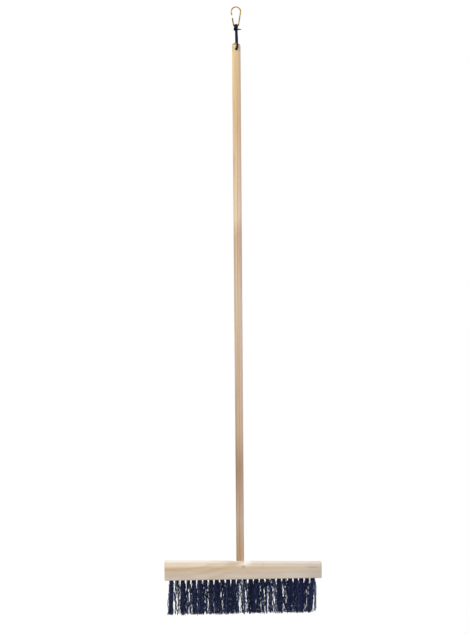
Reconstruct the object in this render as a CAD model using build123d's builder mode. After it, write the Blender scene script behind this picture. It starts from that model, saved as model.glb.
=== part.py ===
from build123d import *

import os
from math import asin, atan2, cos, pi, radians, sin, sqrt, tan

# A push broom that hangs by a cord from an open brass hook. Millimetres, +Z up, X along the head,
# -Y the front. The origin is the inside top of the hook, where it bears on a peg.

# Clearances
moving_gap = 0.3  # between bodies that turn on each other
glue_gap = 0.1  # between pieces that are glued into each other
eye_gap = 0.45  # between the cord's eye and the bent wire, measured up from the wire

# Hook, a teardrop of round wire with its mouth in the left leg
wire_diameter = 3.2
crown_radius = 10.2  # inside of the top bend
foot_side_room = 0.8  # on each side of the doubled cord in the bottom bend
hook_centres = 32.5  # from the top bend's centre to the bottom bend's
tip_length = 7.8  # straight wire above the mouth
mouth_width = 6.8
wire_end_rounding = 0.6

# Cord, from the hook to the hole in the handle
cord_diameter = 3.9
strand_gap = 0.5  # between the two strands of the eye
knot_room = 2.3  # from the hook's wire down to the knot
knot_side = 1.35  # of the knot past the eye's strands, left and right
knot_cover = 0.4  # of the knot past the eye's strands, front and back
knot_height = 5.6
knot_roundness = 0.42  # the edges' radius, as a share of the knot's height
knot_grip = 1.8  # of the strands inside the knot
tail_length = 8.2  # past the knot's side
tail_end_diameter = 2.2
hook_to_hole = 57.0  # from the hook's lowest wire to the handle's hole
shoulder_drop = 3.0  # below the handle's top, where the cord's legs start to lean in
shoulder_spread = 0.33  # of the legs sideways at the shoulder, as a share of the spread at the knot
shoulder_share = 0.45  # of the run below the shoulder, taken up by the bend

# Handle
handle_top_diameter = 22.0
handle_foot_diameter = 20.0  # where it enters the block
handle_exposed = 1324.4  # from its top to the block, on the axis
top_slant = 14.0  # degrees, down to the right
top_rounding = 8.0
hole_drop = 15.9  # from the handle's top to the hole's centre
hole_slack = 1.2  # the hole's diameter past the cord's
hole_chamfer = 1.5
tenon_taper = 3.0  # the diameter lost from the block's top to the tenon's end

# Tufts, in rows that line up from front to back
tuft_rows = 5
tuft_columns = 26
tuft_pitch = 14.4
row_pitch = 11.0
bristle_length = 87.5
strand_pitch = 3.4  # between the strands of a tuft, at the root
strand_stagger = 0.9  # of a tuft's middle strand towards the front, and of the others back
strand_root_width = 2.5
strand_tip_width = 1.9
tuft_fan = 1.1  # how far a tuft's outer strands spread at the tip
row_fan = 0.9  # how far each row's tips lean out from the middle row, per row
left_splay = 4.5  # how far the left end's tufts lean out at the tip
right_draw = 3.5  # how far the right end's tufts draw in
end_power = 5  # how closely both gather at the ends
tip_raggedness = 1.6

# Unevenness of the tufts: phase steps per column, row and strand
sway_steps = (2.4, 1.7)
lean_steps = (1.9, 2.3)
length_steps = (3.1, 1.3, 2.1)

# Strip that carries a row of tufts, flush in a groove of the block
strip_width = 6.5
strip_depth = 5.0
strip_end_room = 2.3  # past the end tufts

# Anchor, a flat piece of wire across each tuft's fold
anchor_thickness = 0.6
anchor_height = 2.4
anchor_bite = 0.9  # into the wood on each side of the strip

# Block, which grows thinner from left to right
left_margin = 10.4  # from the rows' end to the block's end
right_margin = 15.6
side_margin = 4.75  # from the outer rows' strips to the block's sides
block_height_left = 49.1
block_height_right = 39.9
crown_fall = 5.0  # of the block's top line, from left to right
head_shift = 4.4  # of the rows' middle, right of the handle
shoulder_radius = 19.0
lower_edge_radius = 2.0
end_edge_radius = 2.5
saddle_radius = 90.0
saddle_depth = 3.5
socket_floor = 4.0  # wood between the socket and the strip below it

# Hook: centrelines of the two bends and the legs that touch both
wire_radius = wire_diameter / 2
cord_radius = cord_diameter / 2
eye_x = cord_radius + strand_gap / 2
foot_radius = eye_x + cord_radius + foot_side_room
crown_line = crown_radius + wire_radius
foot_line = foot_radius + wire_radius
crown_z = -crown_radius
foot_z = crown_z - hook_centres
pin_z = foot_z - foot_line  # the wire's centre at the hook's lowest point, which the cord turns on
leg_lean = asin((crown_line - foot_line) / hook_centres)

# Cord: an eye that clears the bent wire all round, and the knot under it
strand_steps = 20  # across half a strand
across_strand = [cord_radius * step / strand_steps for step in range(strand_steps + 1)]
eye_radius = eye_gap + max(
    foot_line - sqrt(foot_radius**2 - (eye_x + across) ** 2) + sqrt(cord_radius**2 - across**2)
    for across in across_strand
)
knot_width = 2 * (eye_x + cord_radius + knot_side)
knot_depth = 2 * (eye_radius + cord_radius + knot_cover)
knot_top_z = pin_z - wire_radius - knot_room
knot_bottom_z = knot_top_z - knot_height
knot_middle_z = knot_top_z - knot_height / 2

# Handle: its hole hangs from the cord
hole_radius = (cord_diameter + hole_slack) / 2
hole_z = pin_z - hook_to_hole
handle_top_z = hole_z + hole_drop
handle_top_radius = handle_top_diameter / 2
handle_foot_radius = handle_foot_diameter / 2
seat_z = hole_z + hole_radius - cord_radius - moving_gap  # the cord, up against the hole's top
leg_y = handle_top_radius + cord_radius + moving_gap

# Rows and block
row_length = (tuft_columns - 1) * tuft_pitch + 2 * strand_pitch + strand_root_width + 2 * strip_end_room
left_x = head_shift - row_length / 2 - left_margin
right_x = head_shift + row_length / 2 + right_margin
block_length = right_x - left_x
block_depth = (tuft_rows - 1) * row_pitch + strip_width + 2 * side_margin
saddle_z = handle_top_z - handle_exposed  # lowest of the dished seat, at the handle
row_ys = [(row - (tuft_rows - 1) / 2) * row_pitch for row in range(tuft_rows)]
column_xs = [head_shift + (column - (tuft_columns - 1) / 2) * tuft_pitch for column in range(tuft_columns)]


def top_z(x):
    """Height of the block's top line, before the seat is cut."""
    return saddle_z + saddle_depth - crown_fall * x / block_length


def height(x):
    """Height of the block."""
    return block_height_left + (block_height_right - block_height_left) * (x - left_x) / block_length


under_z = top_z(0) - height(0)
under_lean = atan2(top_z(right_x) - height(right_x) - top_z(left_x) + height(left_x), block_length)
underside = Plane(
    (0, 0, under_z),
    x_dir=(cos(under_lean), 0, sin(under_lean)),
    z_dir=(-sin(under_lean), 0, cos(under_lean)),
)
tenon_z = under_z + strip_depth + glue_gap + socket_floor
tenon_end_radius = handle_foot_radius - tenon_taper / 2


def bend_end(bend_line, bend_z, side):
    """Point where a leg of the hook meets a bend."""
    return Vector(side * bend_line * cos(leg_lean), 0, bend_z - bend_line * sin(leg_lean))


def write(piece, name):
    """Labels a finished piece and writes its STEP file."""
    piece.part.label = name
    export_step(piece.part, f"parts/{name}.step")


os.makedirs("parts", exist_ok=True)

# Hook
left_top, right_top = (bend_end(crown_line, crown_z, side) for side in (-1, 1))
left_foot, right_foot = (bend_end(foot_line, foot_z, side) for side in (-1, 1))
down_leg = (left_foot - left_top).normalized()
upper_tip = left_top + down_leg * tip_length
lower_tip = upper_tip + down_leg * mouth_width

with BuildPart() as hook:
    with BuildLine() as wire_path:
        Line(upper_tip, left_top)
        ThreePointArc(left_top, Vector(0, 0, crown_z + crown_line), right_top)
        Line(right_top, right_foot)
        ThreePointArc(right_foot, Vector(0, 0, pin_z), left_foot)
        Line(left_foot, lower_tip)
    with BuildSketch(Plane(wire_path.wire() @ 0, z_dir=wire_path.wire() % 0)):
        Circle(wire_radius)
    sweep()
    fillet(hook.faces().filter_by(GeomType.PLANE).edges(), wire_end_rounding)
write(hook, "hook")

# Cord's eye: two strands over the hook's lowest wire, ending inside the knot
eye_end_z = knot_top_z - knot_grip
with BuildPart() as cord_eye:
    for side in (-1, 1):
        with BuildLine(Plane.YZ.offset(side * eye_x)) as eye_path:
            Line((-eye_radius, eye_end_z), (-eye_radius, pin_z))
            ThreePointArc((-eye_radius, pin_z), (0, pin_z + eye_radius), (eye_radius, pin_z))
            Line((eye_radius, pin_z), (eye_radius, eye_end_z))
        with BuildSketch(Plane(eye_path.wire() @ 0, z_dir=eye_path.wire() % 0)):
            Circle(cord_radius)
        sweep()
write(cord_eye, "cord_eye")

# Knot, drawn tight
with BuildPart() as cord_knot:
    with BuildSketch(Plane.XY.offset(knot_bottom_z)):
        Ellipse(knot_width / 2, knot_depth / 2)
    extrude(amount=knot_height)
    fillet(cord_knot.edges().filter_by(GeomType.ELLIPSE), knot_roundness * knot_height)
write(cord_knot, "cord_knot")

# Tail, the cord's cut end
tail_plane = Plane((0, -cord_radius, knot_middle_z), x_dir=(0, 1, 0), z_dir=(1, 0, 0))
with BuildPart() as cord_tail:
    with BuildSketch(tail_plane.offset(eye_x + cord_radius + strand_gap / 2)):
        Circle(cord_radius)
    with BuildSketch(tail_plane.offset(knot_width / 2 + tail_length)):
        Circle(tail_end_diameter / 2)
    loft()
write(cord_tail, "cord_tail")

# Hanging cord: straight legs under load, and a tight turn into the hole on each side
shoulder_z = handle_top_z - shoulder_drop
shoulder_x = shoulder_spread * eye_x
leg_end_z = knot_bottom_z + knot_grip
cord_route = [
    Vector(eye_x, -cord_radius, leg_end_z),
    Vector(shoulder_x, -leg_y, shoulder_z),
    Vector(0, -leg_y, seat_z),
    Vector(0, leg_y, seat_z),
    Vector(-shoulder_x, leg_y, shoulder_z),
    Vector(-eye_x, cord_radius, leg_end_z),
]
first_run, second_run = cord_route[1] - cord_route[0], cord_route[2] - cord_route[1]
shoulder_turn = radians(first_run.get_angle(second_run))
shoulder_bend = shoulder_share * second_run.length / tan(shoulder_turn / 2)
hole_bend = cord_diameter
cord_radii = [shoulder_bend, hole_bend, hole_bend, shoulder_bend]

with BuildPart() as hang_cord:
    with BuildLine() as cord_path:
        FilletPolyline(*cord_route, radius=cord_radii)
    with BuildSketch(Plane(cord_path.wire() @ 0, z_dir=cord_path.wire() % 0)):
        Circle(cord_radius)
    sweep()
write(hang_cord, "hang_cord")
print("cord radii", [round(radius, 1) for radius in cord_radii], "strand gap in the eye", strand_gap)
section_times_length = pi * cord_radius**2 * cord_path.wire().length
print("cord volume", round(hang_cord.part.volume, 1), "section times length", round(section_times_length, 1))

# Handle: a tapered stick with a slanting, rounded top, a cross hole and a tapered tenon
stick_top_z = handle_top_z + handle_top_radius  # before the slant is cut
top_plane = Plane((0, 0, handle_top_z)).rotated((0, top_slant, 0))

with BuildPart() as handle:
    with BuildSketch(Plane.XZ):
        with BuildLine():
            Polyline(
                (0, stick_top_z),
                (handle_top_radius, stick_top_z),
                (handle_top_radius, handle_top_z),
                (handle_foot_radius, saddle_z),
                (tenon_end_radius, tenon_z),
                (0, tenon_z),
                close=True,
            )
        make_face()
    revolve(axis=Axis.Z)
    split(bisect_by=top_plane, keep=Keep.BOTTOM)
    fillet(handle.faces().sort_by(Axis.Z)[-1].edges(), top_rounding)
    with BuildSketch(Plane.XZ):
        with Locations((0, hole_z)):
            Circle(hole_radius)
    extrude(amount=handle_top_radius, both=True, mode=Mode.SUBTRACT)
    for face in (-1, 1):
        mouth = Plane((0, face * handle_top_radius, hole_z), z_dir=(0, face, 0))
        with BuildSketch(mouth):
            Circle(hole_radius + hole_chamfer)
        with BuildSketch(mouth.offset(-hole_chamfer)):
            Circle(hole_radius)
        loft(mode=Mode.SUBTRACT)
write(handle, "handle")

# Block: two rounded end profiles, the dished seat and socket for the handle, and the rows' grooves
with BuildPart() as block:
    for x in (left_x, right_x):
        with BuildSketch(Plane.YZ.offset(x)) as end_profile:
            with Locations((0, top_z(x) - height(x) / 2)):
                Rectangle(block_depth, height(x))
            fillet(end_profile.vertices().group_by(Axis.Y)[-1], shoulder_radius)
            fillet(end_profile.vertices().group_by(Axis.Y)[0], lower_edge_radius)
    loft(ruled=True)
    end_faces = block.faces().sort_by(Axis.X)
    fillet(end_faces[0].edges() + end_faces[-1].edges(), end_edge_radius)
    with Locations((0, 0, saddle_z + saddle_radius)):
        Cylinder(saddle_radius, block_depth, rotation=(90, 0, 0), mode=Mode.SUBTRACT)
    with BuildSketch(Plane.XZ):
        with BuildLine():
            Polyline(
                (0, saddle_z + saddle_depth),
                (handle_foot_radius + glue_gap, saddle_z + saddle_depth),
                (handle_foot_radius + glue_gap, saddle_z),
                (tenon_end_radius + glue_gap, tenon_z - glue_gap),
                (0, tenon_z - glue_gap),
                close=True,
            )
        make_face()
    revolve(axis=Axis.Z, mode=Mode.SUBTRACT)
    with BuildSketch(underside):
        with Locations(*[(head_shift, y) for y in row_ys]):
            Rectangle(row_length + 2 * glue_gap, strip_width + 2 * glue_gap)
    extrude(amount=strip_depth + glue_gap, mode=Mode.SUBTRACT)
write(block, "block")


def bristle(root_x, root_y, tip_x, tip_y, length):
    """One four-sided strand, from the middle of its strip to its tip."""
    root = Rectangle(strand_root_width, strand_root_width)
    tip = Rectangle(strand_tip_width, strand_tip_width)
    placed_root = underside.offset(strip_depth / 2) * Pos(root_x, root_y) * root
    placed_tip = underside.offset(-length) * Pos(tip_x, tip_y) * tip
    return loft([placed_root, placed_tip], ruled=True)


def row_of_bristles(row):
    """The strands of one row: tufts of three that fan out, lean at the row's ends and end unevenly."""
    strands = []
    for column, x in enumerate(column_xs):
        outward = 2 * column / (tuft_columns - 1) - 1
        end_lean = left_splay if outward < 0 else right_draw
        sway_x = tuft_fan / 2 * sin(sway_steps[0] * column + sway_steps[1] * row)
        sway_y = tuft_fan / 2 * cos(lean_steps[0] * column + lean_steps[1] * row)
        lean_x = sway_x - end_lean * abs(outward) ** end_power
        lean_y = sway_y + row_fan * (row - (tuft_rows - 1) / 2)
        for strand in (-1, 0, 1):
            root_x = x + strand * strand_pitch
            root_y = row_ys[row] + strand_stagger * (2 * abs(strand) - 1)
            phase = length_steps[0] * column + length_steps[1] * row + length_steps[2] * strand
            length = bristle_length + tip_raggedness * sin(phase)
            tip_x = root_x + lean_x + strand * tuft_fan
            strands.append(bristle(root_x, root_y, tip_x, root_y + lean_y, length))
    return strands


# Rows of bristles, each on its strip, and the anchors across their tufts
anchor_width = strip_width + 2 * anchor_bite
for row, y in enumerate(row_ys):
    strands = row_of_bristles(row)
    with BuildPart() as bristle_row:
        with BuildSketch(underside):
            with Locations((head_shift, y)):
                Rectangle(row_length, strip_width)
        extrude(amount=strip_depth)
        add(strands)
    write(bristle_row, f"bristle_row_{row + 1}")

    with BuildPart() as anchors:
        with BuildSketch(underside.offset((strip_depth - anchor_height) / 2)):
            with Locations(*[(x, y) for x in column_xs]):
                Rectangle(anchor_thickness, anchor_width)
        extrude(amount=anchor_height)
    write(anchors, f"anchors_row_{row + 1}")
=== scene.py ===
import math
import random

import bpy
from mathutils import Matrix, Vector


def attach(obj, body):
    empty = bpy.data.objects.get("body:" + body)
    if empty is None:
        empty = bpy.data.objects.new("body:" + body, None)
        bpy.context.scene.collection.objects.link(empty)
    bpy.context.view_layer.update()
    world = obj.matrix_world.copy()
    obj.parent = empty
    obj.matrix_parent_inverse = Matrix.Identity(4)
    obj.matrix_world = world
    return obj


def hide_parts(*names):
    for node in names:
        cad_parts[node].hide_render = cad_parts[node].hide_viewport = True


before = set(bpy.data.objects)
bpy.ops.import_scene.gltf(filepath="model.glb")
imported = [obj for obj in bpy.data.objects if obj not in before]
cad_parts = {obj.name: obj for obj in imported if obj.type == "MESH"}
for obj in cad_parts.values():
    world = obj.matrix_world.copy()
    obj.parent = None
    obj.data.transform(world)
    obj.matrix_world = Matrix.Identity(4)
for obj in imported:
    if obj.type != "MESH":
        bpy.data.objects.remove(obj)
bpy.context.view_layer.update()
scene = bpy.context.scene
scene.view_settings.view_transform = "Standard"

MM = 0.001
ROWS = 5

# Camera: about level with the broom's middle, far off, and rolled by the small lean at which the broom hangs
IMAGE_HEIGHT = 634
PIXEL = 2.55 * MM
CAMERA_DISTANCE = 8.0
CAMERA_X = -11 * MM
CAMERA_Z = -789 * MM
CAMERA_ROLL = math.radians(-0.45)
CAMERA_REACH = 300

lens = bpy.data.cameras.new("camera")
lens.lens = lens.sensor_width * CAMERA_DISTANCE / (IMAGE_HEIGHT * PIXEL)
lens.clip_end = CAMERA_REACH
camera = bpy.data.objects.new("camera", lens)
camera.matrix_world = (
    Matrix.Translation((CAMERA_X, -CAMERA_DISTANCE, CAMERA_Z))
    @ Matrix.Rotation(math.radians(90), 4, "X")
    @ Matrix.Rotation(CAMERA_ROLL, 4, "Z")
)
scene.collection.objects.link(camera)
scene.camera = camera


# Node helpers


def node(tree, kind, inputs=(), **settings):
    """A shader node, with its settings, input values and links."""
    made = tree.nodes.new("ShaderNode" + kind)
    for key, value in settings.items():
        setattr(made, key, value)
    for key, value in dict(inputs).items():
        if isinstance(value, bpy.types.NodeSocket):
            tree.links.new(value, made.inputs[key])
        else:
            made.inputs[key].default_value = value
    return made


def calc(tree, operation, a, b=0.0, c=0.0):
    """The result of a sum on one, two or three values."""
    return node(tree, "Math", {0: a, 1: b, 2: c}, operation=operation).outputs[0]


def vector_calc(tree, operation, a, b):
    """The result of a sum on two vectors."""
    return node(tree, "VectorMath", {0: a, 1: b}, operation=operation).outputs[0]


def product(tree, value, *others):
    """Values multiplied together."""
    for other in others:
        value = calc(tree, "MULTIPLY", value, other)
    return value


def axes(tree, vector):
    """A vector's x, y and z."""
    return node(tree, "SeparateXYZ", {0: vector}).outputs


def own_place(tree):
    """Places on a piece, in metres, which move along with it."""
    return node(tree, "TexCoord").outputs["Object"]


def facing_up(tree):
    """How far a surface faces the top of its piece, from -1 to 1, at any pose."""
    return axes(tree, node(tree, "TexCoord").outputs["Normal"])[2]


def far_from(tree, place, centre, scale=(1, 1, 1)):
    """Distance from a point on a piece, scaled along each axis."""
    offset = vector_calc(tree, "SUBTRACT", place, centre)
    scaled = vector_calc(tree, "MULTIPLY", offset, scale)
    return node(tree, "VectorMath", {0: scaled}, operation="LENGTH").outputs["Value"]


def far_across(tree, a, b):
    """Distance from a line, from the offsets along two axes."""
    squares = calc(tree, "ADD", product(tree, a, a), product(tree, b, b))
    return calc(tree, "SQRT", squares)


def spread(tree, value, low, high):
    """A value mapped from low and high to 0 and 1, and held there."""
    inputs = {"Value": value, "From Min": low, "From Max": high}
    return node(tree, "MapRange", inputs, clamp=True).outputs[0]


def noise(tree, place, scale, detail=3.0, roughness=0.5):
    """Noise around 0.5, with a scale along each axis."""
    scaled = vector_calc(tree, "MULTIPLY", place, scale)
    inputs = {"Vector": scaled, "Scale": 1.0, "Detail": detail, "Roughness": roughness}
    return node(tree, "TexNoise", inputs).outputs[0]


def wander(tree, place, scale, size, detail=3.0):
    """Noise of a given size around 0."""
    centred = calc(tree, "SUBTRACT", noise(tree, place, scale, detail), 0.5)
    return calc(tree, "MULTIPLY", centred, size)


def ramp(tree, factor, stops):
    """Colours or greys along a factor, from a list of places and colours."""
    made = node(tree, "ValToRGB", {0: factor})
    elements = made.color_ramp.elements
    while len(elements) < len(stops):
        elements.new(1.0)
    for element, (place, colour) in zip(elements, stops):
        element.position = place
        element.color = (*colour, 1) if isinstance(colour, tuple) else (colour, colour, colour, 1)
    return made.outputs[0]


def mottle(tree, place, scale, stops, detail=3.0, roughness=0.5):
    """Colours or greys spread over a piece by noise."""
    return ramp(tree, noise(tree, place, scale, detail, roughness), stops)


def mix(tree, factor, a, b, blend="MIX"):
    """Two colours mixed, through the Mix node's colour sockets."""
    a, b = ((*c, 1) if isinstance(c, tuple) else c for c in (a, b))
    return node(tree, "Mix", {0: factor, 6: a, 7: b}, data_type="RGBA", blend_type=blend).outputs[2]


def times(tree, colour, other, strength=1.0):
    """A colour multiplied by another, in full or in part."""
    return mix(tree, strength, colour, other, "MULTIPLY")


def tint_over(tree, colour, tint, strength, *masks):
    """A tint laid over a colour at a strength, where all the masks are 1, for the thing's own marks and for
    painted light and shade.
    """
    return mix(tree, product(tree, *masks, strength), colour, tint)


def bump(tree, shader, height, distance, strength=1.0):
    """Fine relief on a shader."""
    made = node(tree, "Bump", {"Height": height, "Distance": distance, "Strength": strength})
    tree.links.new(made.outputs[0], shader.inputs["Normal"])


def new_material(name, **sockets):
    """A material, its node tree and its Principled shader, with the shader's even values set."""
    made = bpy.data.materials.new(name)
    made.use_nodes = True
    shader = made.node_tree.nodes["Principled BSDF"]
    for socket, value in sockets.items():
        shader.inputs[socket.replace("_", " ")].default_value = value
    return made, made.node_tree, shader


def in_view(tree):
    """1 where the camera sees a thing, also in metal or through glass, and 0 where it only lights others."""
    path = node(tree, "LightPath").outputs
    seen = calc(tree, "MAXIMUM", path["Is Camera Ray"], path["Is Glossy Ray"])
    return calc(tree, "MAXIMUM", seen, path["Is Transmission Ray"])


# World: white in view, and a weaker light on the broom
WORLD_STRENGTH = 0.5
WHITE_STRENGTH = 1.0

world = bpy.data.worlds.new("studio")
world.use_nodes = True
scene.world = world
sky = world.node_tree
sky_inputs = {"Value": in_view(sky), "To Min": WORLD_STRENGTH, "To Max": WHITE_STRENGTH}
sky_strength = node(sky, "MapRange", sky_inputs).outputs[0]
sky.links.new(sky_strength, sky.nodes["Background"].inputs["Strength"])
sky.nodes["Background"].inputs["Color"].default_value = (1, 1, 1, 1)

# Lamps: name, strength, softness in degrees, and the side that the light comes from
LAMPS = [
    ("front", 1.6, 30, (-0.1, -0.6, 0.8)),
    ("left", 1.1, 60, (-0.95, -0.2, 0.25)),
    ("right", 0.9, 60, (0.95, -0.2, 0.25)),
    ("above", 1.0, 40, (-0.1, 0.55, 0.83)),
]

for name, energy, softness, side in LAMPS:
    lamp = bpy.data.lights.new(name, "SUN")
    lamp.energy = energy
    lamp.angle = math.radians(softness)
    placed = bpy.data.objects.new(name, lamp)
    placed.rotation_euler = Vector(side).to_track_quat("Z", "Y").to_euler()
    scene.collection.objects.link(placed)

# Floor: pale in view, darker where it throws light back, and clear from below
FLOOR_Z = -1.95
FLOOR_REACH = 150.0
FLOOR_CORNERS = ((-1, -1), (1, -1), (1, 1), (-1, 1))
FLOOR_SEEN = (0.75, 0.75, 0.75)
FLOOR_BOUNCE = (0.35, 0.35, 0.35)


def pale_floor():
    """The floor's material."""
    made = bpy.data.materials.new("pale_floor")
    made.use_nodes = True
    tree = made.node_tree
    tree.nodes.clear()
    paint = node(tree, "BsdfDiffuse", {"Color": mix(tree, in_view(tree), FLOOR_BOUNCE, FLOOR_SEEN)})
    clear = node(tree, "BsdfTransparent")
    below = node(tree, "NewGeometry").outputs["Backfacing"]
    both = node(tree, "MixShader", {0: below, 1: paint.outputs[0], 2: clear.outputs[0]})
    node(tree, "OutputMaterial", {0: both.outputs[0]})
    return made


floor_mesh = bpy.data.meshes.new("floor")
floor_vertices = [(x * FLOOR_REACH, y * FLOOR_REACH, FLOOR_Z) for x, y in FLOOR_CORNERS]
floor_mesh.from_pydata(floor_vertices, [], [(0, 1, 2, 3)])
floor_mesh.materials.append(pale_floor())
floor = bpy.data.objects.new("floor", floor_mesh)
scene.collection.objects.link(floor)


# Materials: lengths and places are in metres, in the shared frame


def brass():
    """Cloudy brass with spots of tarnish, dull on the lower left leg."""
    made, tree, shader = new_material("brass", Metallic=1.0, Specular_Tint=(0.65, 0.46, 0.1, 1))
    place = own_place(tree)
    x, _, z = axes(tree, place)
    deep, plain, bright = (0.19, 0.11, 0.01), (0.36, 0.21, 0.014), (0.74, 0.54, 0.05)
    colour = mottle(tree, place, (160, 160, 160), [(0.3, deep), (0.5, plain), (0.7, bright)], detail=4)
    left = spread(tree, x, 0.0, -0.006)
    low = spread(tree, z, -0.022, -0.028)
    colour = tint_over(tree, colour, (0.13, 0.1, 0.006), 0.9, left, low)
    tarnish = noise(tree, place, (700, 700, 700), detail=2)
    colour = tint_over(tree, colour, (0.16, 0.085, 0.015), 0.5, spread(tree, tarnish, 0.55, 0.7))
    tree.links.new(colour, shader.inputs["Base Color"])
    tree.links.new(ramp(tree, tarnish, [(0.3, 0.26), (0.7, 0.48)]), shader.inputs["Roughness"])
    bump(tree, shader, tarnish, 0.00008)
    return made


HANDLE_FOOT_Z = -1.415
HANDLE_TOP_Z = -0.091
HANDLE_RADIUS = 0.011
HANDLE_RING = 0.0042
HANDLE_HEART_Y = 0.016
HOLE_MOUTH = (0.0008, -0.01, -0.10625)
CORD_FRONT_X = 0.0026

# Painted light and shade: how much lighter the handle is painted for each metre to the right, at its foot
# and at its top
FOOT_LIGHT_TILT = 22.0
TOP_LIGHT_TILT = -21.0

# The handle's colour from its foot to its top, and the painted highlights and shade that it is multiplied by
# from its left to its right
HANDLE_TONES = [
    (0.0, (0.49, 0.32, 0.17)),
    (0.08, (0.58, 0.42, 0.29)),
    (0.19, (0.45, 0.29, 0.18)),
    (0.25, (0.61, 0.44, 0.29)),
    (0.5, (0.75, 0.58, 0.41)),
    (0.63, (0.67, 0.47, 0.31)),
    (0.66, (0.84, 0.65, 0.45)),
    (0.85, (0.8, 0.57, 0.32)),
    (1.0, (0.88, 0.65, 0.35)),
]
HANDLE_SIDE_LIGHT = [
    (0.0, (0.93, 0.91, 0.86)),
    (0.18, (0.94, 0.92, 0.88)),
    (0.32, (1.06, 1.06, 1.07)),
    (0.5, (0.99, 0.94, 0.89)),
    (0.68, (1.06, 1.06, 1.2)),
    (1.0, (0.98, 0.96, 1.08)),
]


def handle_wood():
    """Smooth, handled wood with long streaks, golden at the top, browner below and bare at the foot.

    It is dark on the rim of the top, has the cord's shadow in front and shade round the hole painted on, and
    has painted light and shade across its sides.
    """
    made, tree, shader = new_material("handle_wood", Roughness=0.5, Specular_IOR_Level=0.35)
    place = own_place(tree)
    x, y, z = axes(tree, place)

    # Growth rings round a heart that lies outside the handle, streaks and pores
    heart_x = calc(tree, "MULTIPLY_ADD", z, 0.006, 0.034)
    wobble = wander(tree, place, (30, 30, 3.2), 0.009, detail=2)
    dx = calc(tree, "ADD", calc(tree, "SUBTRACT", x, heart_x), wobble)
    dy = calc(tree, "SUBTRACT", y, HANDLE_HEART_Y)
    ring = calc(tree, "FRACT", calc(tree, "DIVIDE", far_across(tree, dx, dy), HANDLE_RING))
    grain = ramp(tree, ring, [(0.0, 1.02), (0.45, 0.97), (0.8, 0.84), (0.93, 0.8), (1.0, 1.0)])
    streak_stops = [(0.3, 0.8), (0.5, 0.97), (0.7, 1.06)]
    streak = mottle(tree, place, (420, 420, 5), streak_stops, detail=5, roughness=0.6)
    pores = mottle(tree, place, (1500, 1500, 26), [(0.28, 0.75), (0.38, 1.0)], detail=1)

    # Tone along the handle, a little patchy
    along = spread(tree, z, HANDLE_FOOT_Z, HANDLE_TOP_Z)
    patch = wander(tree, place, (40, 40, 7), 0.06)
    colour = times(tree, ramp(tree, calc(tree, "ADD", patch, along), HANDLE_TONES), grain)
    colour = times(tree, colour, streak, 0.8)
    colour = times(tree, colour, pores, 0.6)

    # Painted light and shade: lighter on the right at the foot and on the left at the top
    painted_light_tilt = calc(tree, "MULTIPLY_ADD", along, TOP_LIGHT_TILT - FOOT_LIGHT_TILT, FOOT_LIGHT_TILT)
    colour = times(tree, colour, calc(tree, "MULTIPLY_ADD", x, painted_light_tilt, 1.0))
    # Painted highlights and shade in bands from the handle's left to its right
    across = spread(tree, x, -HANDLE_RADIUS, HANDLE_RADIUS)
    colour = times(tree, colour, ramp(tree, across, HANDLE_SIDE_LIGHT))

    # Dark rim of the top
    left_corner = product(tree, spread(tree, x, -0.006, -0.01), spread(tree, z, -0.099, -0.095), 0.6)
    rim = calc(tree, "MAXIMUM", spread(tree, facing_up(tree), 0.28, 0.5), left_corner)
    colour = tint_over(tree, colour, (0.15, 0.095, 0.045), 0.85, rim)

    # Painted shadow of the cord on the wood in front, and painted shade round the hole
    off_cord = calc(tree, "ABSOLUTE", calc(tree, "SUBTRACT", x, CORD_FRONT_X))
    cord_shadow = product(tree, spread(tree, off_cord, 0.0046, 0.0026), spread(tree, z, -0.105, -0.103))
    cord_shadow = calc(tree, "MULTIPLY", cord_shadow, spread(tree, y, 0.0, -0.004))
    shade_round_hole = spread(tree, far_from(tree, place, HOLE_MOUTH), 0.0048, 0.0034)
    painted_cord_shade = calc(tree, "MAXIMUM", cord_shadow, shade_round_hole)
    colour = tint_over(tree, colour, (0.1, 0.06, 0.04), 0.85, painted_cord_shade)

    # A dark line where it enters the block, and bare wood below
    colour = tint_over(tree, colour, (0.3, 0.18, 0.1), 0.5, spread(tree, z, -1.4088, -1.41))
    colour = mix(tree, spread(tree, z, -1.4101, -1.4106), colour, (0.74, 0.62, 0.48))
    tree.links.new(colour, shader.inputs["Base Color"])
    bump(tree, shader, streak, 0.0002, 0.5)
    return made


BLOCK_HEART_Z = -1.46
BLOCK_RING = 0.0085
RING_RISE = 0.0125
RING_ARCH = (-0.15, -0.005)
LATE_WOOD = (0.94, 0.9, 0.83)

# Two darker growth lines: where they rise along the head, their distance from the heart and their strength
GROWTH_LINES = [
    (RING_ARCH, 0.0436, 0.68),
    ((-0.115, 0.02), 0.0397, 0.6),
]

# A pin knot, a streak at the right end and a small mark, each by its centre, its scale along the axes,
# its outer and inner distance, its tint and its strength
KNOT_PLACE = (0.0083, -0.0287, -1.4234)
KNOT_SCALE = (0.55, 0.6, 0.8)
BLOCK_MARKS = [
    (KNOT_PLACE, KNOT_SCALE, 0.0034, 0.0012, (0.3, 0.18, 0.09), 0.6),
    ((0.184, -0.0287, -1.4256), (0.12, 0.3, 1.0), 0.0028, 0.0008, (0.3, 0.23, 0.15), 0.75),
    ((0.058, -0.0246, -1.4177), (0.6, 0.5, 1.0), 0.0028, 0.001, (0.42, 0.31, 0.21), 0.65),
]


def arched(tree, reach, x, arch):
    """Distance from the block's heart, with its rings carried up between two places along the head."""
    low, high = arch
    inputs = {"Value": x, "From Min": low, "From Max": high, "To Min": 0.0, "To Max": -RING_RISE}
    rise = node(tree, "MapRange", inputs, interpolation_type="SMOOTHSTEP").outputs[0]
    return calc(tree, "ADD", reach, rise)


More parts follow.
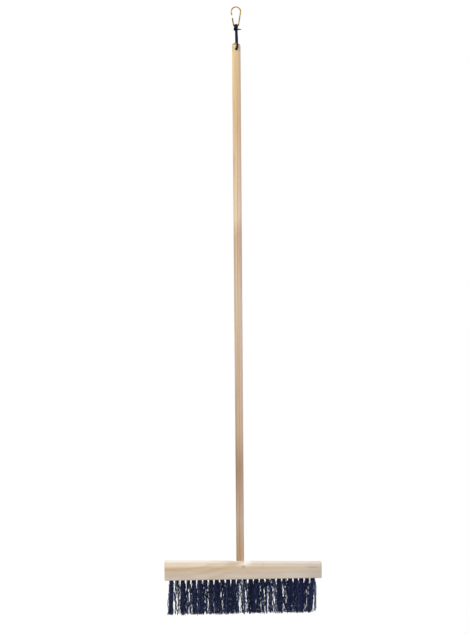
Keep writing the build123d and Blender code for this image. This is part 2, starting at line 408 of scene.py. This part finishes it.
def block_wood():
    """Bare, planed pale wood with arching growth rings, a pin knot, two marks and the handle's seat, with
    painted shade and painted glare.
    """
    made, tree, shader = new_material("block_wood", Roughness=0.42, Specular_IOR_Level=0.5)
    place = own_place(tree)
    x, y, z = axes(tree, place)

    # Growth rings, which swell round the knot, and streaks and flecks
    reach = far_across(tree, y, calc(tree, "SUBTRACT", z, BLOCK_HEART_Z))
    wobble = wander(tree, place, (9, 34, 34), 0.008)
    knot_far = far_from(tree, place, KNOT_PLACE, KNOT_SCALE)
    swell = calc(tree, "MULTIPLY", spread(tree, knot_far, 0.011, 0.0), 0.006)
    reach = calc(tree, "ADD", reach, calc(tree, "ADD", wobble, swell))
    ring = calc(tree, "FRACT", calc(tree, "DIVIDE", arched(tree, reach, x, RING_ARCH), BLOCK_RING))
    grain = ramp(tree, ring, [(0.0, LATE_WOOD), (0.12, 1.0), (0.6, 0.98), (0.92, LATE_WOOD)])
    streak_stops = [(0.3, 0.9), (0.5, 0.98), (0.7, 1.03)]
    streak = mottle(tree, place, (16, 620, 620), streak_stops, detail=5, roughness=0.62)
    fleck = mottle(tree, place, (60, 1100, 1100), [(0.27, 0.82), (0.36, 1.0)], detail=1)
    deep, plain, light = (0.62, 0.49, 0.36), (0.67, 0.54, 0.41), (0.7, 0.59, 0.46)
    tone = mottle(tree, place, (11, 40, 40), [(0.3, deep), (0.5, plain), (0.7, light)])
    colour = times(tree, tone, grain)
    colour = times(tree, colour, streak, 0.8)
    colour = times(tree, colour, fleck, 0.6)

    # Darker growth lines, which fade upwards over a short way and downwards over a longer one
    for arch, radius, strength in GROWTH_LINES:
        above = calc(tree, "SUBTRACT", arched(tree, reach, x, arch), radius)
        upper = spread(tree, above, 0.0018, 0.0003)
        lower = spread(tree, above, -0.0052, -0.0004)
        darker = times(tree, colour, (0.88, 0.79, 0.68))
        colour = tint_over(tree, colour, darker, strength, calc(tree, "MINIMUM", upper, lower))

    # Cooler below and warmer above, greyer towards the right, painted shade on the shoulder towards the
    # right, and a greyish painted glare on top towards the left
    warmth = mix(tree, spread(tree, z, -1.443, -1.43), (1.0, 1.04, 1.14), (1.0, 0.97, 0.88))
    colour = times(tree, colour, warmth)
    colour = tint_over(tree, colour, (0.56, 0.49, 0.42), 0.4, spread(tree, x, -0.05, 0.2))
    # Painted shade on the shoulder, strongest towards the right end
    shaded_shoulder = spread(tree, z, -1.431, -1.4255)
    colour = tint_over(tree, colour, (0.4, 0.33, 0.26), 0.62, spread(tree, x, -0.2, 0.16), shaded_shoulder)
    # Painted glare, greyish, on the faces that look up, towards the left
    top = spread(tree, facing_up(tree), 0.4, 0.95)
    colour = tint_over(tree, colour, (0.55, 0.55, 0.57), 0.5, top, spread(tree, x, 0.3, -0.2))

    # Painted shade, browner, left of the handle's seat, darker at the right end, and a painted highlight on
    # the seat's right half
    shade_left_of_seat = product(tree, spread(tree, x, -0.006, -0.014), spread(tree, x, -0.05, -0.03))
    colour = tint_over(tree, colour, (0.43, 0.31, 0.18), 0.65, shade_left_of_seat, spread(tree, z, -1.4255, -1.4225))
    colour = tint_over(tree, colour, (0.43, 0.36, 0.32), 0.3, spread(tree, x, 0.15, 0.19))
    # Painted highlight on the right half of the handle's seat
    near_handle = spread(tree, calc(tree, "ABSOLUTE", x), 0.032, 0.014)
    seat_highlight = product(tree, near_handle, spread(tree, z, -1.4225, -1.4165))
    colour = tint_over(tree, colour, (0.84, 0.8, 0.74), 0.7, seat_highlight, spread(tree, x, -0.004, 0.01))

    for centre, scale, outer, inner, tint, strength in BLOCK_MARKS:
        mark = spread(tree, far_from(tree, place, centre, scale), outer, inner)
        colour = tint_over(tree, colour, tint, strength, mark)
    tree.links.new(colour, shader.inputs["Base Color"])
    bump(tree, shader, streak, 0.0003, 0.5)
    return made


BRAID_STRANDS = 4
BRAID_PITCH = 0.0026


def navy_cord():
    """Waxed braided cord: strands that cross on the slant, along the tube's own length, with painted shade
    in the hollows between them and painted light on their tops.
    """
    made, tree, shader = new_material("navy_cord", Roughness=0.7, Specular_IOR_Level=0.04)
    u, v, _ = axes(tree, node(tree, "UVMap", uv_map="UVMap").outputs[0])
    turn = calc(tree, "MULTIPLY", u, BRAID_STRANDS * math.tau)
    run = calc(tree, "MULTIPLY", v, math.tau / BRAID_PITCH)
    left = calc(tree, "SINE", calc(tree, "ADD", turn, run))
    right = calc(tree, "SINE", calc(tree, "SUBTRACT", turn, run))
    weave = calc(tree, "MAXIMUM", left, right)
    # The braid's colour: painted shade in its hollows and painted light on its raised strands
    hollow_shade, plain, raised_light = (0.004, 0.005, 0.015), (0.01, 0.013, 0.036), (0.019, 0.024, 0.062)
    colour = ramp(tree, weave, [(0.0, hollow_shade), (0.6, plain), (1.0, raised_light)])
    rub = noise(tree, own_place(tree), (420, 420, 420))
    colour = mix(tree, spread(tree, rub, 0.55, 0.8), colour, (0.022, 0.028, 0.068))
    tree.links.new(colour, shader.inputs["Base Color"])
    bump(tree, shader, weave, 0.00012, 0.5)
    return made


def navy_bristle():
    """Coarse dyed fibre, each with a tint of its own, paler in spots and bluer towards the right end."""
    made, tree, shader = new_material("navy_bristle", Roughness=0.5, Specular_IOR_Level=0.12)
    place = own_place(tree)
    x = axes(tree, place)[0]
    tint = node(tree, "Attribute", attribute_name="tint").outputs["Fac"]
    deep, plain, pale = (0.014, 0.019, 0.056), (0.017, 0.025, 0.074), (0.12, 0.16, 0.36)
    colour = ramp(tree, tint, [(0.0, deep), (0.6, plain), (1.0, pale)])
    colour = tint_over(tree, colour, (0.015, 0.026, 0.105), 0.5, spread(tree, x, 0.02, 0.19))
    spots = noise(tree, place, (500, 500, 90))
    colour = mix(tree, spread(tree, spots, 0.55, 0.8), colour, (0.05, 0.07, 0.17))
    tree.links.new(colour, shader.inputs["Base Color"])
    bump(tree, shader, spots, 0.0002, 0.5)
    return made


def anchor_steel():
    """Brushed steel."""
    made, tree, shader = new_material("anchor_steel", Metallic=1.0)
    brushed = noise(tree, own_place(tree), (900, 60, 900))
    colour = ramp(tree, brushed, [(0.3, (0.42, 0.42, 0.43)), (0.7, (0.6, 0.6, 0.6))])
    tree.links.new(colour, shader.inputs["Base Color"])
    tree.links.new(ramp(tree, brushed, [(0.3, 0.3), (0.7, 0.5)]), shader.inputs["Roughness"])
    return made


def paint_node(name, material):
    """Gives a node of the solids its material."""
    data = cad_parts[name].data
    data.materials.clear()
    data.materials.append(material)


BLOCK_WOOD = block_wood()
NAVY_CORD = navy_cord()
NAVY_BRISTLE = navy_bristle()
ANCHOR_STEEL = anchor_steel()

paint_node("hook", brass())
paint_node("handle", handle_wood())
paint_node("block", BLOCK_WOOD)
for row in range(ROWS):
    paint_node(f"anchors_row_{row + 1}", ANCHOR_STEEL)


def new_piece(name, vertices, faces, material, smooth):
    """A piece with these faces, of which the four-sided ones may be shaded smooth."""
    mesh = bpy.data.meshes.new(name)
    mesh.from_pydata(vertices, [], faces)
    mesh.polygons.foreach_set("use_smooth", [smooth and len(face) == 4 for face in faces])
    mesh.materials.append(material)
    piece = bpy.data.objects.new(name, mesh)
    scene.collection.objects.link(piece)
    return piece


# Cord: routes are in millimetres
CORD_RADIUS = 1.95 * MM
CORD_SIDES = 22
ROUTE_STEPS = 10
TAPER_POWER = 1.5


def smooth_line(points):
    """Points, in metres, along a smooth spline with these control points in millimetres."""
    curve = bpy.data.curves.new("route", "CURVE")
    curve.dimensions = "3D"
    curve.resolution_u = ROUTE_STEPS
    spline = curve.splines.new("NURBS")
    spline.points.add(len(points) - 1)
    for control, (x, y, z) in zip(spline.points, points):
        control.co = (x * MM, y * MM, z * MM, 1)
    spline.order_u = 3
    spline.use_endpoint_u = True
    holder = bpy.data.objects.new("route", curve)
    mesh = bpy.data.meshes.new_from_object(holder)
    line = [vertex.co.copy() for vertex in mesh.vertices]
    bpy.data.objects.remove(holder)
    bpy.data.curves.remove(curve)
    bpy.data.meshes.remove(mesh)
    return line


def tube(name, line, taper=0.0):
    """Cord along a line, thinned by a taper at its far end. Its texture's second axis runs along it."""
    steps = [(b - a).length for a, b in zip(line, line[1:])]
    runs = [sum(steps[:i]) for i in range(len(line))]
    heading = (line[1] - line[0]).normalized()
    across = heading.orthogonal().normalized()
    vertices, places = [], []
    for i, point in enumerate(line):
        ahead = (line[min(i + 1, len(line) - 1)] - line[max(i - 1, 0)]).normalized()
        across = heading.rotation_difference(ahead) @ across
        heading = ahead
        side = heading.cross(across)
        radius = CORD_RADIUS * (1 - taper * (runs[i] / runs[-1]) ** TAPER_POWER)
        for k in range(CORD_SIDES):
            angle = math.tau * k / CORD_SIDES
            vertices.append(point + radius * (math.cos(angle) * across + math.sin(angle) * side))
            places.append((k / CORD_SIDES, runs[i]))
    faces, corners = [], []
    for i in range(len(line) - 1):
        a = i * CORD_SIDES
        b = a + CORD_SIDES
        for k in range(CORD_SIDES):
            n = (k + 1) % CORD_SIDES
            faces.append((a + k, a + n, b + n, b + k))
            low, high = k / CORD_SIDES, (k + 1) / CORD_SIDES
            corners += [(low, runs[i]), (high, runs[i]), (high, runs[i + 1]), (low, runs[i + 1])]
    last = (len(line) - 1) * CORD_SIDES
    for cap in (reversed(range(CORD_SIDES)), range(last, last + CORD_SIDES)):
        faces.append(tuple(cap))
        corners += [places[vertex] for vertex in faces[-1]]
    piece = new_piece(name, vertices, faces, NAVY_CORD, smooth=True)
    layer = piece.data.uv_layers.new(name="UVMap")
    layer.data.foreach_set("uv", [value for corner in corners for value in corner])
    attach(piece, "cord")
    return piece


CORD_ROUTE = [
    (2.0, -1.95, -56.95),
    (3.2, -10.65, -87.41),
    (3.2, -13.25, -96.5),
    (2.0, -13.25, -105.95),
    (0.2, -3.8, -105.95),
    (0, 3.8, -105.95),
    (-0.3, 13.25, -105.95),
    (-0.7, 13.25, -96.5),
    (-0.5, 10.65, -87.41),
    (-0.9, 1.95, -56.95),
]
cord_line = smooth_line(CORD_ROUTE)
hang_cord = tube("hanging_cord", cord_line)
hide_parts("hang_cord")

# Knot: two passes over the hook's wire, and a strand that falls across their front and turns twice below
EYE_FRONTS = {
    "left": [(-1.6, -3.8, -57.0), (-3.4, -5.2, -54.0), (-2.6, -6.6, -48.8), (-2.4, -5.2, -44.0)],
    "right": [(1.2, -3.8, -57.0), (2.4, -5.2, -54.0), (2.8, -6.6, -48.8), (2.4, -5.2, -44.0)],
}
TURNS_ROUTE = [
    (0.3, 1.5, -44.2),
    (0.2, -2.5, -43.6),
    (0.2, -6.6, -44.6),
    (0.2, -8.8, -48.4),
    (-1.1, -9.3, -51.9),
    (-4.4, -7.4, -53.2),
    (-4.5, -1.8, -54.3),
    (-3.6, 5.4, -53.9),
    (0.2, 7.6, -52.6),
    (3.2, 5.4, -53.8),
    (3.0, -0.5, -55.2),
    (2.0, -5.8, -56.0),
    (-0.8, -7.2, -56.4),
    (-4.3, -5.4, -56.8),
    (-4.5, 0, -57.0),
    (-3.0, 4.4, -57.0),
    (0, 5.0, -57.0),
]
TAIL_ROUTE = [(1.6, -4.0, -56.4), (4.8, -3.2, -56.0), (9.0, -2.1, -55.9), (13.2, -1.95, -56.0)]
TAIL_TAPER = 0.55

for side, front in EYE_FRONTS.items():
    back = [(x, -y, z) for x, y, z in reversed(front)]
    tube(f"cord_eye_{side}", smooth_line(front + back))
    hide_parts("cord_eye")

turns = tube("knot_turns", smooth_line(TURNS_ROUTE))
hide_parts("cord_knot")

tail = tube("cord_tail_end", smooth_line(TAIL_ROUTE), TAIL_TAPER)
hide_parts("cord_tail")

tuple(cord_line[0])


# Bristles: where the tufts stand under the head
COLUMNS = 26
TUFT_PITCH = 14.4 * MM
ROW_PITCH = 11.0 * MM
HEAD_SHIFT = 4.4 * MM
UNDER_Z = -1455.91 * MM
UNDER_LEAN = math.atan2(4.2, 399.9)

# The drilled wood round them
STRIP_WIDTH = 7.7 * MM
STRIP_DROP = 0.1 * MM
HOLE_X = 5.9 * MM
HOLE_Y = 2.8 * MM
HOLE_DEPTH = 3.0 * MM
HOLE_SIDES = 24
TINY = 1e-6

# A tuft's locks of fibres, and by column the share of them that the thinner tufts have
LOCKS = 5
LOCK_FIBRES = 4
THIN_TUFTS = {1: 0.4, 3: 0.6, 6: 0.8, 9: 0.8, 12: 0.6, 13: 0.6, 16: 0.8, 17: 0.8, 18: 0.6, 20: 0.8, 24: 0.8}

# How far locks spread: less in the two end columns, and in the first ones, where light shows between tufts
END_SPREAD = 0.5
OPEN_COLUMNS = 8
OPEN_SPREAD = 0.6
LOCK_DEPTH = 0.8
LOCK_GAINS = (0.55, 1.0)

# How tips lean along the head: by column, by lock, and over the last columns at each end
COLUMN_SWAY = 1.6 * MM
LOCK_LEAN = 1.8 * MM
LEFT_COLUMNS = 4
LEFT_LEAN = -4.5 * MM
RIGHT_COLUMNS = 3
RIGHT_LEAN = -7.0 * MM
END_POWER = 1.5
LEAN_POWER = 1.4

# Waves, by size and period, and how far both vary
LONG_WAVE = (1.6 * MM, 50 * MM)
SHORT_WAVE = (0.6 * MM, 13 * MM)
DEPTH_WAVE = (1.1 * MM, 26 * MM)
CURL_WAVE = (0.25 * MM, 12 * MM)
WAVE_SIZES = (0.4, 1.4)
WAVE_PERIODS = (0.65, 1.35)

# Fibres: how they open out of their holes, gather into locks, and vary in length, thickness and tint
FIBRE_LENGTH = 89.3 * MM
LOCK_EXTRAS = (-2.2 * MM, 1.6 * MM)
FIBRE_EXTRA = 1.0 * MM
FIBRE_RADIUS = 0.42 * MM
FIBRE_RADII = (0.7, 1.35)
FIBRE_TAPER = 0.25
FIBRE_RINGS = 30
FIBRE_SIDES = 4
ROOT_HEIGHT = 1.5 * MM
ROOT_SPREAD = 0.92
OPENING_SHARE = 0.16
DEPTH_SPREAD = 1.25
LOOSENING = 6
GATHERING = 4
THIN_GATHER = 0.9
FULL_GATHER = 0.68
THIN_TINT_POWER = 1.3
FULL_TINT_POWER = 2.4

# The stray lock at the right end: further right and shorter by a step for each row towards the back
STRAY_GAIN = 0.5
STRAY_LEAN = -1.5 * MM
STRAY_LEAN_STEP = 0.8 * MM
STRAY_EXTRA = -3 * MM
STRAY_EXTRA_STEP = -1 * MM
STRAY_PALE = 0.85

COLUMN_SEED = 11
ROW_SEED = 40

underside = Matrix.Translation((0, 0, UNDER_Z)) @ Matrix.Rotation(-UNDER_LEAN, 4, "Y")
column_xs = [HEAD_SHIFT + (column - (COLUMNS - 1) / 2) * TUFT_PITCH for column in range(COLUMNS)]
row_ys = [(row - (ROWS - 1) / 2) * ROW_PITCH for row in range(ROWS)]
column_luck = random.Random(COLUMN_SEED)
column_sway = [column_luck.uniform(-COLUMN_SWAY, COLUMN_SWAY) for column in range(COLUMNS)]


def strip(row):
    """The wood round a row's tufts, a hair below the block, with an oval hole for each tuft."""
    half_x, half_y = TUFT_PITCH / 2, STRIP_WIDTH / 2
    corner = math.atan2(half_y, half_x)
    corners = [corner, math.pi - corner, math.pi + corner, math.tau - corner]
    angles = sorted([math.tau * k / HOLE_SIDES for k in range(HOLE_SIDES)] + corners)
    vertices, faces = [], []
    for x in column_xs:
        start = len(vertices)
        for angle in angles:
            c, s = math.cos(angle), math.sin(angle)
            edge = min(half_x / max(abs(c), TINY), half_y / max(abs(s), TINY))
            levels = [(edge, edge, -STRIP_DROP), (HOLE_X, HOLE_Y, -STRIP_DROP), (HOLE_X, HOLE_Y, HOLE_DEPTH)]
            for far_x, far_y, z in levels:
                vertices.append(underside @ Vector((x + far_x * c, row_ys[row] + far_y * s, z)))
        for k in range(len(angles)):
            a = start + 3 * k
            b = start + 3 * ((k + 1) % len(angles))
            faces += [(a, a + 1, b + 1, b), (a + 1, a + 2, b + 2, b + 1)]
        faces.append(tuple(start + 3 * k + 2 for k in reversed(range(len(angles)))))
    return new_piece(f"strip_{row + 1}", vertices, faces, BLOCK_WOOD, smooth=False)


def in_circle(luck):
    """A place in a circle of radius 1."""
    angle = luck.uniform(0, math.tau)
    far = math.sqrt(luck.random())
    return far * math.cos(angle), far * math.sin(angle)


def end_lean(column):
    """How far a column's tips lean along the head: out at the left end, and in at the right."""
    left = max(0.0, 1 - column / LEFT_COLUMNS)
    right = max(0.0, 1 - (COLUMNS - 1 - column) / RIGHT_COLUMNS)
    return LEFT_LEAN * left**END_POWER + RIGHT_LEAN * right**END_POWER


def wave(luck, size, period):
    """A wave's size and period, each varied about the given one, and its start."""
    return luck.uniform(*WAVE_SIZES) * size, luck.uniform(*WAVE_PERIODS) * period, luck.uniform(0, math.tau)


def shift_at(waves, fall):
    """How far waves carry a fibre aside, at a distance down it."""
    return sum(size * math.sin(math.tau * fall / period + start) for size, period, start in waves)


def lock_of_fibres(luck, column, number, locks):
    """A lock: where it ends up across its tuft, how it spreads, leans and waves, and its extra length."""
    spreading = END_SPREAD if column in (0, COLUMNS - 1) else 1 / math.sqrt(THIN_TUFTS.get(column, 1))
    if column < OPEN_COLUMNS:
        spreading *= OPEN_SPREAD
    return {
        "x": 2 * (number + luck.random()) / locks - 1,
        "y": luck.uniform(-LOCK_DEPTH, LOCK_DEPTH),
        "gain": luck.uniform(*LOCK_GAINS) * spreading,
        "lean": column_sway[column] + end_lean(column) + luck.gauss(0, LOCK_LEAN),
        "waves_x": [wave(luck, *LONG_WAVE), wave(luck, *SHORT_WAVE)],
        "waves_y": [wave(luck, *DEPTH_WAVE)],
        "extra": luck.uniform(*LOCK_EXTRAS),
        "pale": 0.0,
    }


def make_stray(lock, row):
    """Turns a lock into the row's stray one, which hangs apart from its tuft, short and pale."""
    lock["gain"] = STRAY_GAIN
    lock["lean"] = STRAY_LEAN + STRAY_LEAN_STEP * row
    lock["extra"] = STRAY_EXTRA + STRAY_EXTRA_STEP * row
    lock["pale"] = STRAY_PALE


def fibre_points(luck, column, row, lock, length):
    """Places down one fibre: out of its hole, spreading at first, then drawn to its waving lock.

    The fibres of a thin tuft gather closely into their locks, and those of a full one stay more even.
    """
    root_x, root_y = in_circle(luck)
    curl_x = [wave(luck, *CURL_WAVE)]
    curl_y = [wave(luck, *CURL_WAVE)]
    gathered = THIN_GATHER if column in THIN_TUFTS else FULL_GATHER
    points = []
    for ring in range(FIBRE_RINGS):
        share = ring / (FIBRE_RINGS - 1)
        fall = share * length
        loose = min(1, LOOSENING * share)
        opened = ROOT_SPREAD + lock["gain"] * (1 - math.exp(-((share / OPENING_SHARE) ** 2)))
        gather = gathered * min(1, GATHERING * share)
        x = root_x + (lock["x"] - root_x) * gather
        y = root_y + (lock["y"] - root_y) * gather
        shift_x = loose * shift_at(lock["waves_x"] + curl_x, fall) + lock["lean"] * share**LEAN_POWER
        shift_y = loose * shift_at(lock["waves_y"] + curl_y, fall)
        along = column_xs[column] + HOLE_X * x * opened + shift_x
        deep = row_ys[row] + HOLE_Y * y * opened * DEPTH_SPREAD + shift_y
        points.append(Vector((along, deep, ROOT_HEIGHT - fall)))
    return points


def add_fibre(vertices, faces, points, thick):
    """Adds a thin tapering tube along a fibre's places, closed at its tip."""
    start = len(vertices)
    for ring, point in enumerate(points):
        radius = thick * (1 - FIBRE_TAPER * ring / (FIBRE_RINGS - 1))
        for k in range(FIBRE_SIDES):
            angle = math.tau * k / FIBRE_SIDES
            offset = Vector((radius * math.cos(angle), radius * math.sin(angle), 0))
            vertices.append(underside @ (point + offset))
    for ring in range(FIBRE_RINGS - 1):
        a = start + ring * FIBRE_SIDES
        b = a + FIBRE_SIDES
        for k in range(FIBRE_SIDES):
            n = (k + 1) % FIBRE_SIDES
            faces.append((a + k, b + k, b + n, a + n))
    last = start + (FIBRE_RINGS - 1) * FIBRE_SIDES
    faces.append(tuple(last + k for k in reversed(range(FIBRE_SIDES))))


def bristle_row(row):
    """A row's fibres, tuft by tuft and lock by lock, each with a tint of its own."""
    luck = random.Random(ROW_SEED + row)
    vertices, faces, tints = [], [], []
    for column in range(COLUMNS):
        locks = round(LOCKS * THIN_TUFTS.get(column, 1))
        tint_power = THIN_TINT_POWER if column in THIN_TUFTS else FULL_TINT_POWER
        for number in range(locks):
            lock = lock_of_fibres(luck, column, number, locks)
            if column == COLUMNS - 1 and number == locks - 1:
                make_stray(lock, row)
            for _ in range(LOCK_FIBRES):
                length = FIBRE_LENGTH + lock["extra"] + luck.uniform(-FIBRE_EXTRA, FIBRE_EXTRA)
                tint = max(lock["pale"], luck.random() ** tint_power)
                thick = FIBRE_RADIUS * luck.uniform(*FIBRE_RADII)
                add_fibre(vertices, faces, fibre_points(luck, column, row, lock, length), thick)
                tints += [tint] * (FIBRE_RINGS * FIBRE_SIDES)
    piece = new_piece(f"fibres_{row + 1}", vertices, faces, NAVY_BRISTLE, smooth=True)
    piece.data.attributes.new("tint", "FLOAT", "POINT").data.foreach_set("value", tints)
    return piece


for row in range(ROWS):
    for piece, slot in ((bristle_row(row), "navy_bristle"), (strip(row), "block_wood")):
        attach(piece, "broom")
        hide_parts(f"bristle_row_{row + 1}")
